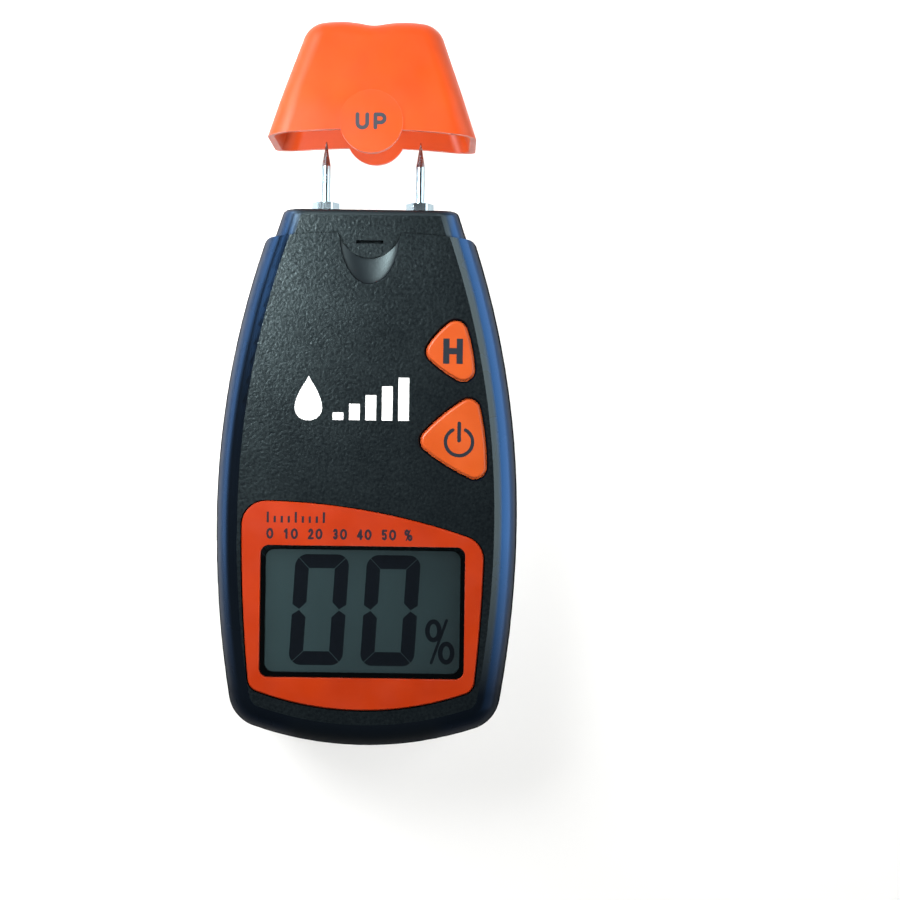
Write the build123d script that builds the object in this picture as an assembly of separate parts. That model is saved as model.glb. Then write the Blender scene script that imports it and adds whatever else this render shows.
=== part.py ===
"""A two-pin pocket moisture meter with a pull-off pin cap, in millimetres.

The meter lies on its back: +Z is out of its display, +Y runs towards the pins and +X is to the
reader's right. Every piece is drawn with y measured up from the bottom end of the housing, and
export_piece() moves it so that the origin is on the back face, halfway up the housing.
"""

from build123d import *
import math
import os

# ---- housing ----------------------------------------------------------------------------------
HOUSING_LENGTH = 115.6  # bottom end to nose end
HOUSING_WIDTH = 65.0
HOUSING_DEPTH = 25.0
WIDEST_AT = 48.5  # height at which the sides are parallel
UPPER_SIDE_RADIUS = 190.0
LOWER_SIDE_RADIUS = 230.0
BOTTOM_RADIUS = 75.0
BOTTOM_CORNER_RADIUS = 8.0
SHOULDER_AT = 110.4  # height of the step to the nose, on the centre line
SHOULDER_RADIUS = 200.0
SHOULDER_CORNER_RADIUS = 2.2
EDGE_RADIUS = 5.0
WALL = 2.0
PARTING = 12.0  # height of the joint between the two shells
PARTING_GAP = 0.2
LIP_HEIGHT = 1.1
LIP_CLEARANCE = 0.05
BEYOND = 12.0  # how far blanks run past what they make
OVERLAP = 0.1  # by which a feature runs into the wall it grows from

# ---- nose that the cap fits over --------------------------------------------------------------
NOSE_ROOT_HALF_WIDTH = 20.5  # at the shoulder
NOSE_SLOPE = math.radians(18.0)
NOSE_STEP = 1.5  # how far the nose lies below the front and back faces
NOSE_EDGE_RADIUS = 4.2
NOSE_END_RADIUS = 1.3

# ---- cap and its seat -------------------------------------------------------------------------
CAP_HEIGHT = 24.5
CAP_MOUTH_HALF_WIDTH = 22.2
CAP_WALL = 1.25
CAP_SLOPE = math.radians(18.5)
CAP_EDGE_RADIUS = 4.5
CAP_FACE_CLEARANCE = 0.15  # below the front face and above the back face
CAP_STRAIGHT_DEPTH = 6.5  # of full thickness, from the mouth
CAP_END_THICKNESS = 17.0
CAP_KNEE_RADIUS = 30.0
CAP_HUMP_AT = 7.0  # the closed end has two humps, with a saddle between them
CAP_HUMP_RADIUS = 25.0
CAP_CORNER_RADIUS = 5.5
CAP_SADDLE_RADIUS = 8.0
CAP_SEAT_GAP = 0.15
CAP_TRAVEL = 22.0  # from its seat to where it lies pulled off
TAB_RADIUS = 6.75
FRONT_TAB_CENTRE = 1.6  # above the cap's rim
BACK_TAB_CENTRE = 2.9
TAB_RAISE = 0.3  # of the front tab over the front face
SEAT_CLEARANCE = 0.3

# ---- thumb scoop below the front tab ----------------------------------------------------------
SCOOP_HALF_WIDTH = 6.5
SCOOP_LENGTH = 11.1  # below the shoulder
SCOOP_DEPTH = 2.1
SEAT_PAD_HALF_WIDTH = 9.5
SEAT_PAD_LOW = 97.0
SEAT_PAD_THICKNESS = 2.7
SLOT_WIDTH = 5.8
SLOT_HEIGHT = 0.7
SLOT_AT = 108.5
SLOT_DEPTH = 1.2

# ---- display ----------------------------------------------------------------------------------
SURROUND_THICKNESS = 1.2
SURROUND_SUNK = 0.1
SURROUND_GAP = 0.25
SURROUND_SIDE_RADIUS = 340.0
SURROUND_SIDE_INSET = 6.5
SURROUND_BOTTOM_INSET = 8.1
SURROUND_TOP_RADIUS = 141.0
SURROUND_TOP_APEX = (-22.1, 52.7)
SURROUND_TOP_CORNER = 5.2
SURROUND_BOTTOM_CORNER = 3.0
WINDOW_WIDTH = 43.9
WINDOW_HEIGHT = 28.4
WINDOW_X = -0.55  # of the display and its surround, left of the centre line
WINDOW_AT = 29.1
WINDOW_CORNER = 1.9
LENS_MARGIN = 1.7  # how far the clear window runs behind the surround
LENS_THICKNESS = 0.8
LEDGE_THICKNESS = 0.8
LEDGE_REACH = 1.0  # how far the ledge under the window shows inside it
POLARIZER_THICKNESS = 0.2
GLASS_THICKNESS = 1.1
GLASS_WIDTH = 47.0
GLASS_HEIGHT = 33.0
GLASS_CLEARANCE = 0.2  # inside its frame
GLASS_GAP = 0.1  # under the ledge
CONTACT_EDGE = 2.5  # of the front glass, beyond the rear one
STRIP_WIDTH = 2.0
STRIP_LENGTH = 44.0
LCD_FRAME_WALL = 1.5

# ---- circuit board and what is on it ----------------------------------------------------------
BOARD_BOTTOM = 15.8
BOARD_THICKNESS = 1.6
BOARD_TOP = BOARD_BOTTOM + BOARD_THICKNESS
BOARD_INSET = 3.4
BOARD_LOW = 9.0
BOARD_HIGH = 95.0
CASE_SCREWS = [(-26.0, 52.5), (26.0, 52.5), (-17.0, 100.0), (17.0, 100.0)]
CASE_BOSS_RADIUS = 2.6
CASE_SCREW_RADIUS = 1.15
CASE_SCREW_HEAD_RADIUS = 2.1
CASE_SCREW_LENGTH = 16.0
BOARD_SCREWS = [(-24.5, 70.0), (0.0, 50.8), (0.0, 90.0)]
BOARD_BOSS_RADIUS = 2.1
BOARD_SCREW_RADIUS = 0.9
BOARD_SCREW_HEAD_RADIUS = 1.7
BOARD_SCREW_LENGTH = 5.2
SCREW_HEAD_HEIGHT = 1.3
RECESS_DEPTH = 0.8

# ---- keys -------------------------------------------------------------------------------------
KEY_PROUD = 0.8
KEY_GAP = 0.3
KEY_BOW = 0.8
KEY_CORNER = 2.3
KEY_TOP_RADIUS = 0.5
KEY_FLANGE = 0.9
KEY_FLANGE_THICKNESS = 1.1
KEY_CHAMFER = 0.4
HOLD_KEY = [(12.1, 84.8), (22.8, 77.8), (19.8, 92.8)]
POWER_KEY = [(10.7, 65.7), (25.4, 57.1), (23.1, 76.1)]
SWITCH_SIZE = 6.0
SWITCH_HEIGHT = 3.5
PLUNGER_RADIUS = 1.7
PLUNGER_PROUD = 0.55
PLUNGER_CLEARANCE = 0.15

# ---- pins -------------------------------------------------------------------------------------
PIN_SPACING = 20.8
PIN_RADIUS = 1.0
PIN_REACH = 16.2  # beyond the nose
PIN_POINT = 5.4
PIN_TIP_RADIUS = 0.08
STUD_RADIUS = 1.5
STUD_CLEARANCE = 0.05
STUD_LOW = 105.0
NUT_FLATS = 5.5
NUT_HEIGHT = 2.6
PIN_Z = 12.5
BLOCK_LOW = 101.0
BLOCK_HALF_WIDTH = 14.0
BLOCK_HALF_DEPTH = 6.0
SOCKET_RADIUS = 2.75
SOCKET_LOW = 99.5
SPIGOT_RADIUS = 1.0
TAG_THICKNESS = 0.4
TAG_WIDTH = 4.4
TAG_TOP = 19.2
LEAD_RADIUS = 0.55
LEAD_BEND = 0.9

# ---- cells and their compartment --------------------------------------------------------------
CELL_RADIUS = 5.25
CELL_LENGTH = 44.5
CELL_NUB_RADIUS = 1.9
CELL_NUB = 1.0
CELL_X = 5.7
BAY_LOW = 4.6
BAY_HIGH = 52.6
BAY_WALL = 1.2
BAY_SIDE_WALL = 2.05
DOOR_THICKNESS = 1.8
DOOR_GAP = 0.15
DOOR_HALF_WIDTH = 12.0
DOOR_HIGH = 54.6
DOOR_LIP_TOP = 8.0
DOOR_TONGUE = 1.2
DOOR_TONGUE_LOW = 1.0
GROOVES = 5  # across the door, for the thumb, with an arrow above them
GROOVES_LOW = 12.0
GROOVE_PITCH = 2.2
GROOVE_LENGTH = 14.0
GROOVE_WIDTH = 1.1
GROOVE_DEPTH = 0.4
ARROW_SIZE = 4.5
CELL_CLEARANCE = 0.3
CELL_Z = DOOR_THICKNESS + CELL_CLEARANCE + CELL_RADIUS
BAY_CEILING = CELL_Z + CELL_RADIUS + CELL_CLEARANCE
CONTACT_THICKNESS = 0.4
CONTACT_GAP = 0.1

FRONT = HOUSING_DEPTH
INNER_FRONT = HOUSING_DEPTH - WALL
SURROUND_FLOOR = FRONT - SURROUND_SUNK - SURROUND_THICKNESS
LEDGE_TOP = SURROUND_FLOOR - LENS_THICKNESS
LEDGE_BOTTOM = LEDGE_TOP - LEDGE_THICKNESS
GLASS_TOP = LEDGE_BOTTOM - GLASS_GAP - POLARIZER_THICKNESS
CAP_END = SHOULDER_AT + CAP_SEAT_GAP + CAP_HEIGHT
PIN_XS = (-PIN_SPACING / 2, PIN_SPACING / 2)


# ---- helpers ----------------------------------------------------------------------------------
def box(low, high):
    """A box from its lowest to its highest corner."""
    size = [b - a for a, b in zip(low, high)]
    return Pos(*low) * Box(*size, align=(Align.MIN, Align.MIN, Align.MIN))


def block(x, y, width, height, low, high):
    """A box centred at (x, y), from z = low to z = high."""
    return box((x - width / 2, y - height / 2, low), (x + width / 2, y + height / 2, high))


def rod(x, y, low, high, radius):
    """A round rod along Z."""
    upright = (Align.CENTER, Align.CENTER, Align.MIN)
    return Pos(x, y, low) * Cylinder(radius, high - low, align=upright)


def shaft(x, z, low, high, radius):
    """A round rod along Y."""
    upright = (Align.CENTER, Align.CENTER, Align.MIN)
    return Pos(x, low, z) * Rot(-90, 0, 0) * Cylinder(radius, high - low, align=upright)


def prism(sketch, low, high):
    """A sketch in the XY plane, extruded from z = low to z = high."""
    return Pos(0, 0, low) * extrude(sketch, high - low, dir=(0, 0, 1))


def group(solids):
    """Separate solids that share one node."""
    return Compound([s.solid() for s in solids])


# ---- housing blanks ---------------------------------------------------------------------------
def side_lens(radius, inset):
    """The region between two arcs that bow outwards, widest at WIDEST_AT."""
    centre = radius - HOUSING_WIDTH / 2
    left = Pos(centre, WIDEST_AT) * Circle(radius - inset)
    right = Pos(-centre, WIDEST_AT) * Circle(radius - inset)
    return left & right


def between_sides(inset):
    """Everything between the housing's two sides, from far below it to far above it."""
    reach = SHOULDER_AT + BEYOND - WIDEST_AT
    above = Pos(0, WIDEST_AT + reach / 2) * Rectangle(2 * HOUSING_WIDTH, reach)
    below = Pos(0, WIDEST_AT - reach / 2) * Rectangle(2 * HOUSING_WIDTH, reach)
    upper = side_lens(UPPER_SIDE_RADIUS, inset) & above
    lower = side_lens(LOWER_SIDE_RADIUS, inset) & below
    return upper + lower


def housing_outline(inset=0.0):
    """The housing seen from the front, with its sides running on past the shoulder."""
    outline = between_sides(inset) & (Pos(0, BOTTOM_RADIUS) * Circle(BOTTOM_RADIUS - inset))
    corners = outline.vertices().filter_by_position(Axis.Y, 0, WIDEST_AT / 2)
    return fillet(corners, BOTTOM_CORNER_RADIUS - inset)


def housing_plan(inset=0.0):
    """The housing below the nose, seen from the front, with rounded shoulders."""
    shoulder = Pos(0, SHOULDER_AT - SHOULDER_RADIUS) * Circle(SHOULDER_RADIUS - inset)
    plan = housing_outline(inset) & shoulder
    corners = plan.vertices().filter_by_position(Axis.Y, SHOULDER_AT - 5, SHOULDER_AT)
    return fillet(corners, SHOULDER_CORNER_RADIUS)


def housing_blank(inset=0.0):
    """The housing below the nose, solid, with its long edges rounded."""
    blank = prism(housing_outline(inset), inset, FRONT - inset)
    rims = []
    for end in (blank.faces().sort_by(Axis.Z)[0], blank.faces().sort_by(Axis.Z)[-1]):
        rims += end.edges()
    blank = fillet(rims, EDGE_RADIUS - inset)
    return blank & prism(housing_plan(inset), -1, FRONT + 1)


def nose_half_width(y, inset):
    """Half the nose's width at height y."""
    slope = math.tan(NOSE_SLOPE)
    return NOSE_ROOT_HALF_WIDTH - (y - SHOULDER_AT) * slope - inset / math.cos(NOSE_SLOPE)


def nose_plan(inset=0.0):
    """The nose seen from the front, running down inside the housing."""
    low = SHOULDER_AT - BEYOND
    high = HOUSING_LENGTH - inset
    wide = nose_half_width(low, inset)
    narrow = nose_half_width(high, inset)
    corners = [(-wide, low), (wide, low), (narrow, high), (-narrow, high)]
    return make_face(Polyline(*corners, close=True))


def nose_blank(inset=0.0):
    """The nose, solid, with rounded edges."""
    blank = prism(nose_plan(inset), NOSE_STEP + inset, FRONT - NOSE_STEP - inset)
    sides = [e for e in blank.edges() if abs(e.center().X) > 1 and abs(e.tangent_at(0.5).Y) > 0.5]
    blank = fillet(sides, NOSE_EDGE_RADIUS - inset)
    if inset == 0:
        blank = fillet(blank.faces().sort_by(Axis.Y)[-1].edges(), NOSE_END_RADIUS)
    return blank


def casing():
    """Both shells as one hollow piece, before they are parted."""
    outside = housing_blank() + nose_blank()
    inside = housing_blank(WALL) + nose_blank(WALL)
    return outside - inside


def lip_ring(inset):
    """The wall's inner part at the joint of the shells, from an inset to the wall's inner face."""
    outer = housing_plan(inset) + nose_plan(inset)
    inner = housing_plan(WALL) + nose_plan(WALL)
    return outer - inner


# ---- cap --------------------------------------------------------------------------------------
def cap_half_width(y, inset):
    """Half the cap's width at height y, with the cap on its seat."""
    slope = math.tan(CAP_SLOPE)
    return CAP_MOUTH_HALF_WIDTH - (y - SHOULDER_AT) * slope - inset / math.cos(CAP_SLOPE)


def cap_plan(inset=0.0):
    """The cap seen from the front, with a two-humped closed end, running on past its mouth."""
    low = SHOULDER_AT - BEYOND
    wide = cap_half_width(low, inset)
    narrow = cap_half_width(CAP_END, inset)
    corners = [(-wide, low), (wide, low), (narrow, CAP_END), (-narrow, CAP_END)]
    sides = make_face(Polyline(*corners, close=True))
    humps = Sketch()
    for x in (-CAP_HUMP_AT, CAP_HUMP_AT):
        humps += Pos(x, CAP_END - CAP_HUMP_RADIUS) * Circle(CAP_HUMP_RADIUS - inset)
    humps += Pos(0, low - BEYOND / 4) * Rectangle(4 * wide, 2 * BEYOND)
    plan = sides & humps
    saddle = [v for v in plan.vertices() if v.Y > CAP_END - 4 and abs(v.X) < 1]
    plan = fillet(saddle, CAP_SADDLE_RADIUS)
    ends = [v for v in plan.vertices() if v.Y > CAP_END - 5 and abs(v.X) > CAP_HUMP_AT + 3]
    return fillet(ends, CAP_CORNER_RADIUS - inset)


def cap_profile(inset=0.0):
    """The cap seen from the side, as a face in the YZ plane."""
    low = SHOULDER_AT - BEYOND
    knee = SHOULDER_AT + CAP_STRAIGHT_DEPTH
    back = CAP_FACE_CLEARANCE + inset
    front = FRONT - CAP_FACE_CLEARANCE - inset
    taper = (HOUSING_DEPTH - 2 * CAP_FACE_CLEARANCE - CAP_END_THICKNESS) / 2
    end = CAP_END + 1
    lower = [(low, back), (knee, back), (end, back + taper)]
    upper = [(end, front - taper), (knee, front), (low, front)]
    face = make_face(Polyline(*lower, *upper, close=True))
    knees = face.vertices().filter_by_position(Axis.X, knee - 0.1, knee + 0.1)
    return fillet(knees, CAP_KNEE_RADIUS)


def cap_blank(inset=0.0):
    """The cap's outside, or its inside, as a solid that runs on past its mouth."""
    plan = prism(cap_plan(inset), -1, FRONT + 1)
    across = Plane(origin=(-HOUSING_WIDTH / 2, 0, 0), x_dir=(0, 1, 0), z_dir=(1, 0, 0))
    profile = extrude(across * cap_profile(inset), HOUSING_WIDTH)
    blank = plan & profile
    middle = HOUSING_DEPTH / 2
    rims = []
    for edge in blank.edges():
        heights = [v.Z - middle for v in edge.vertices()]
        level = min(abs(h) for h in heights) > 3 and min(heights) * max(heights) > 0
        if level and edge.center().Y > SHOULDER_AT - BEYOND + 0.5:
            if abs(edge.tangent_at(0.5).X) < 0.999 or edge.center().Y > CAP_END - 6:
                rims.append(edge)
    return fillet(rims, CAP_EDGE_RADIUS - inset)


def tab(centre, low, high):
    """A round finger tab that starts on the cap and reaches out past its rim."""
    return rod(0, SHOULDER_AT + CAP_SEAT_GAP + centre, low, high, TAB_RADIUS)


def pin_cap():
    """The cap in one moulding, with a tab on its front and a shorter one on its back."""
    wall = cap_blank() - cap_blank(CAP_WALL)
    mouth = Pos(0, SHOULDER_AT - SHOULDER_RADIUS) * Circle(SHOULDER_RADIUS + CAP_SEAT_GAP)
    cap = wall - prism(mouth, -1, FRONT + 1)
    inside = CAP_FACE_CLEARANCE + CAP_WALL
    cap += tab(FRONT_TAB_CENTRE, FRONT - inside, FRONT + TAB_RAISE)
    cap += tab(BACK_TAB_CENTRE, CAP_FACE_CLEARANCE, inside)
    return Pos(0, CAP_TRAVEL, 0) * cap


# ---- outlines that more than one piece needs --------------------------------------------------
def surround_plan(grow=0.0):
    """The display surround: slanted along its top, parallel to the housing elsewhere."""
    apex_x, apex_y = SURROUND_TOP_APEX
    sides = side_lens(SURROUND_SIDE_RADIUS, SURROUND_SIDE_INSET - grow)
    bottom = Pos(0, BOTTOM_RADIUS) * Circle(BOTTOM_RADIUS - SURROUND_BOTTOM_INSET + grow)
    top = Pos(apex_x, apex_y - SURROUND_TOP_RADIUS) * Circle(SURROUND_TOP_RADIUS + grow)
    plan = sides & bottom & top
    upper = plan.vertices().filter_by_position(Axis.Y, WIDEST_AT / 2, 2 * WIDEST_AT)
    plan = fillet(upper, SURROUND_TOP_CORNER + grow)
    lower = plan.vertices().filter_by_position(Axis.Y, 0, WIDEST_AT / 2)
    return Pos(WINDOW_X, 0) * fillet(lower, SURROUND_BOTTOM_CORNER + grow)


def window_plan(grow=0.0):
    """The display's window in the surround."""
    width = WINDOW_WIDTH + 2 * grow
    height = WINDOW_HEIGHT + 2 * grow
    return Pos(WINDOW_X, WINDOW_AT) * RectangleRounded(width, height, WINDOW_CORNER)


def key_plan(corners, grow=0.0):
    """A key seen from the front: a triangle with rounded corners whose sides bow outwards."""
    plan = None
    for start, end in zip(corners, corners[1:] + corners[:1]):
        side = Vector(*end) - Vector(*start)
        outward = Vector(side.Y, -side.X).normalized()
        radius = side.length**2 / (8 * KEY_BOW) + KEY_BOW / 2
        hub = Vector(*start) + side / 2 - outward * (radius - KEY_BOW)
        disc = Pos(hub.X, hub.Y) * Circle(radius + grow)
        plan = plan & disc if plan else disc
    return fillet(plan.vertices(), KEY_CORNER + grow)


def key_centre(corners):
    """Where the key's stem and its switch are."""
    return [sum(c[i] for c in corners) / 3 for i in range(2)]


# ---- shells -----------------------------------------------------------------------------------
def pin_holes():
    """Clearance holes for the two studs in the nose's end."""
    return [shaft(x, PIN_Z, BLOCK_LOW, HOUSING_LENGTH + 1, STUD_RADIUS + 0.25) for x in PIN_XS]


def key_opening(corners):
    """The cutter of a key's opening, with a chamfer at the front face."""
    opening = key_plan(corners, KEY_GAP)
    reach = KEY_CHAMFER + 0.1
    low = Pos(0, 0, FRONT - KEY_CHAMFER) * opening
    high = Pos(0, 0, FRONT + 0.1) * key_plan(corners, KEY_GAP + reach)
    return prism(opening, BOARD_TOP, FRONT + 1) + loft([low.face(), high.face()], ruled=True)


def tab_seat():
    """The round seat of the cap's front tab, open at the front."""
    seat_y = SHOULDER_AT + CAP_SEAT_GAP + FRONT_TAB_CENTRE
    return rod(0, seat_y, FRONT - NOSE_STEP, FRONT + 1, TAB_RADIUS + SEAT_CLEARANCE)


def scoop():
    """The shield-shaped thumb scoop round the tab's seat."""
    bowl = scale(Sphere(1), by=(SCOOP_HALF_WIDTH, SCOOP_LENGTH, SCOOP_DEPTH))
    bowl = Pos(0, SHOULDER_AT, FRONT) * bowl
    bowl &= box((-HOUSING_WIDTH, 0, 0), (HOUSING_WIDTH, SHOULDER_AT, FRONT + 1))
    seat_y = SHOULDER_AT + CAP_SEAT_GAP + FRONT_TAB_CENTRE
    return bowl - rod(0, seat_y, 0, FRONT + 1, TAB_RADIUS + SEAT_CLEARANCE)


def front_shell(shell):
    """The upper shell: face, window ledge, key openings, thumb scoop and bosses."""
    low = PARTING + PARTING_GAP
    front = shell & box((-HOUSING_WIDTH, -1, low), (HOUSING_WIDTH, HOUSING_LENGTH + 1, FRONT + 1))
    front += prism(lip_ring(WALL / 2 + LIP_CLEARANCE), PARTING - LIP_HEIGHT, low + OVERLAP)
    front += prism(surround_plan(1.0), LEDGE_BOTTOM, INNER_FRONT + OVERLAP)
    pad_low = FRONT - NOSE_STEP - SEAT_PAD_THICKNESS
    pad_half = SEAT_PAD_HALF_WIDTH
    front += box((-pad_half, SEAT_PAD_LOW, pad_low), (pad_half, SHOULDER_AT, INNER_FRONT + OVERLAP))
    for x, y in CASE_SCREWS:
        front += rod(x, y, PARTING + 0.5, INNER_FRONT + OVERLAP, CASE_BOSS_RADIUS)
        front -= rod(x, y, PARTING, INNER_FRONT - 1, CASE_SCREW_RADIUS + 0.05)
    for x, y in BOARD_SCREWS:
        front += rod(x, y, BOARD_TOP, INNER_FRONT + OVERLAP, BOARD_BOSS_RADIUS)
        front -= rod(x, y, BOARD_TOP - 1, INNER_FRONT - 1, BOARD_SCREW_RADIUS + 0.05)
    front -= prism(surround_plan(SURROUND_GAP), SURROUND_FLOOR, FRONT + 1)
    front -= prism(window_plan(LENS_MARGIN + 0.1), LEDGE_TOP, FRONT)
    front -= prism(window_plan(-LEDGE_REACH), BOARD_TOP, FRONT)
    for corners in (HOLD_KEY, POWER_KEY):
        front -= key_opening(corners)
    front -= tab_seat()
    front -= scoop()
    front -= block(0, SLOT_AT, SLOT_WIDTH, SLOT_HEIGHT, FRONT - NOSE_STEP - SLOT_DEPTH - 0.4, FRONT)
    for hole in pin_holes():
        front -= hole
    return front


def door_region(grow=0.0):
    """The part of the housing that the battery door takes, or with grow its opening."""
    half = DOOR_HALF_WIDTH + grow
    return box((-half, -1, -1), (half, DOOR_HIGH + grow, DOOR_LIP_TOP + grow))


def door_tongue(side, grow=0.0):
    """The tongue along one side of the door, or with grow its groove."""
    inner = side * (DOOR_HALF_WIDTH - 0.5)
    outer = side * (DOOR_HALF_WIDTH + DOOR_TONGUE + grow)
    low = -1 if grow else BOTTOM_CORNER_RADIUS
    high = DOOR_HIGH - 2 + grow
    left, right = sorted((inner, outer))
    return box((left, low, DOOR_TONGUE_LOW - grow), (right, high, DOOR_THICKNESS + grow))


def rear_shell(shell):
    """The lower shell: battery bay, door opening, screw columns and back tab seat."""
    rear = shell & box((-HOUSING_WIDTH, -1, -1), (HOUSING_WIDTH, HOUSING_LENGTH + 1, PARTING))
    rear -= prism(lip_ring(WALL / 2), PARTING - LIP_HEIGHT - LIP_CLEARANCE, PARTING + 1)
    pad_half = SEAT_PAD_HALF_WIDTH
    pad_top = NOSE_STEP + WALL + OVERLAP
    rear += box((-pad_half, BLOCK_LOW, WALL - OVERLAP), (pad_half, SHOULDER_AT, pad_top))
    rear -= door_region(DOOR_GAP)
    inner = DOOR_HALF_WIDTH + DOOR_GAP
    outer = inner + BAY_SIDE_WALL
    top = BAY_CEILING + BAY_WALL
    sill = DOOR_THICKNESS + DOOR_GAP
    tray = box((-outer, BAY_LOW - BAY_WALL, sill), (outer, BAY_HIGH + BAY_WALL, top))
    tray -= box((-inner, BAY_LOW, -1), (inner, BAY_HIGH, BAY_CEILING))
    for x in (-CELL_X, CELL_X):
        tray -= block(x, BAY_HIGH - 0.3, 2.8, 1.0, CELL_Z, top + 1)
    rear += tray & housing_blank(sill)
    for side in (-1, 1):
        rear -= door_tongue(side, DOOR_GAP)
    head_seat = RECESS_DEPTH + SCREW_HEAD_HEIGHT
    for x, y in CASE_SCREWS:
        rear += rod(x, y, WALL - 0.5, head_seat + 2, CASE_SCREW_HEAD_RADIUS + 1.3)
        rear += rod(x, y, WALL - 0.5, PARTING + 0.4, CASE_BOSS_RADIUS)
        rear -= rod(x, y, -1, head_seat, CASE_SCREW_HEAD_RADIUS + 0.2)
        rear -= rod(x, y, -1, PARTING + 1, CASE_SCREW_RADIUS + 0.1)
    seat_y = SHOULDER_AT + CAP_SEAT_GAP + BACK_TAB_CENTRE
    rear -= rod(0, seat_y, -1, NOSE_STEP, TAB_RADIUS + SEAT_CLEARANCE)
    for hole in pin_holes():
        rear -= hole
    return rear


def battery_door():
    """The door over the cells: it slides off towards the bottom end, and wraps round it."""
    door = (housing_blank() - housing_blank(DOOR_THICKNESS)) & door_region()
    for side in (-1, 1):
        door += door_tongue(side)
    for i in range(GROOVES):
        y = GROOVES_LOW + GROOVE_PITCH * i
        door -= block(0, y, GROOVE_LENGTH, GROOVE_WIDTH, -1, GROOVE_DEPTH)
    arrow_low = GROOVES_LOW + GROOVE_PITCH * GROOVES + 2
    arrow = [(-ARROW_SIZE, arrow_low + ARROW_SIZE), (ARROW_SIZE, arrow_low + ARROW_SIZE), (0, arrow_low)]
    return door - prism(make_face(Polyline(*arrow, close=True)), -1, GROOVE_DEPTH)


# ---- display ----------------------------------------------------------------------------------
def display_surround():
    """The coloured plate round the window, set into the face."""
    plate = prism(surround_plan(), SURROUND_FLOOR, FRONT - SURROUND_SUNK)
    plate = chamfer(plate.faces().sort_by(Axis.Z)[-1].edges(), 0.25)
    plate -= prism(window_plan(), SURROUND_FLOOR - 1, FRONT)
    return plate


def display_window():
    """The clear window behind the surround."""
    return prism(window_plan(LENS_MARGIN), LEDGE_TOP, SURROUND_FLOOR)


def lcd_pane(height, low, thickness, width=GLASS_WIDTH):
    """A pane of the display's glass or film."""
    return block(WINDOW_X, WINDOW_AT, width, height, low, low + thickness)


def lcd_frame():
    """The frame that holds the display's glass over the board."""
    width = GLASS_WIDTH + 2 * GLASS_CLEARANCE
    height = GLASS_HEIGHT + 2 * GLASS_CLEARANCE
    wall = 2 * LCD_FRAME_WALL
    top = LEDGE_BOTTOM - GLASS_GAP
    frame = block(WINDOW_X, WINDOW_AT, width + wall, height + wall, BOARD_TOP, top)
    return frame - block(WINDOW_X, WINDOW_AT, width, height, BOARD_TOP - 1, FRONT)


def zebra_strips():
    """The rubber strips that join the board to the front glass's contact edges."""
    reach = GLASS_HEIGHT / 2 - CONTACT_EDGE / 2
    top = GLASS_TOP - GLASS_THICKNESS
    rows = (WINDOW_AT - reach, WINDOW_AT + reach)
    return [block(WINDOW_X, y, STRIP_LENGTH, STRIP_WIDTH, BOARD_TOP, top) for y in rows]


# ---- circuit board ----------------------------------------------------------------------------
def circuit_board():
    """The board that carries the display, the switches and the electronics."""
    board = prism(housing_plan(BOARD_INSET), BOARD_BOTTOM, BOARD_TOP)
    board &= box((-HOUSING_WIDTH, BOARD_LOW, 0), (HOUSING_WIDTH, BOARD_HIGH, FRONT))
    for x, y in CASE_SCREWS[:2]:
        board -= block(x + math.copysign(5, x), y, 16, 6, 0, FRONT)
    for x, y in BOARD_SCREWS:
        board -= rod(x, y, 0, FRONT, BOARD_SCREW_RADIUS + 0.1)
    return board


def chip(x, y, width, height, thickness, leads, pitch):
    """A chip with leads along its left and right sides."""
    body = block(x, y, width, height, BOARD_TOP + 0.1, BOARD_TOP + thickness)
    for i in range(leads):
        lead_y = y + (i - (leads - 1) / 2) * pitch
        body += block(x, lead_y, width + 2, 0.4 * pitch, BOARD_TOP, BOARD_TOP + 0.3)
    return body


def small_chips(places, width, height, thickness):
    """A row of two-ended chip parts."""
    return [block(x, y, width, height, BOARD_TOP, BOARD_TOP + thickness) for x, y in places]


def trimmer(x, y):
    """A calibration trimmer with a slotted rotor."""
    body = block(x, y, 4.5, 4.5, BOARD_TOP, BOARD_TOP + 2.2)
    body += rod(x, y, BOARD_TOP + 2.2, BOARD_TOP + 2.7, 1.6)
    return body - block(x, y, 2.4, 0.5, BOARD_TOP + 2.3, BOARD_TOP + 3)


def buzzer():
    """The round buzzer, with its sound hole."""
    body = rod(-16, 62, BOARD_TOP, BOARD_TOP + 4.4, 6)
    return body - rod(-16, 62, BOARD_TOP + 3, BOARD_TOP + 5, 1)


def switch_body(corners):
    """A tactile switch's body, with the bore that its plunger works in."""
    x, y = key_centre(corners)
    top = BOARD_TOP + SWITCH_HEIGHT
    body = block(x, y, SWITCH_SIZE, SWITCH_SIZE, BOARD_TOP, top)
    return body - rod(x, y, BOARD_TOP + 1.2, top + 1, PLUNGER_RADIUS + PLUNGER_CLEARANCE)


def switch_plunger(corners):
    """The plunger of a tactile switch."""
    x, y = key_centre(corners)
    return rod(x, y, BOARD_TOP + 1.9, BOARD_TOP + SWITCH_HEIGHT + PLUNGER_PROUD, PLUNGER_RADIUS)


def key(corners):
    """A key, with the flange that keeps it in its opening and the stem over its switch."""
    x, y = key_centre(corners)
    flange_top = INNER_FRONT - 0.1
    flange_low = flange_top - KEY_FLANGE_THICKNESS
    body = prism(key_plan(corners), flange_low, FRONT + KEY_PROUD)
    body = fillet(body.faces().sort_by(Axis.Z)[-1].edges(), KEY_TOP_RADIUS)
    body += prism(key_plan(corners, KEY_FLANGE), flange_low, flange_top)
    return body + rod(x, y, BOARD_TOP + SWITCH_HEIGHT + PLUNGER_PROUD + 0.05, flange_low, PLUNGER_RADIUS)


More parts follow.
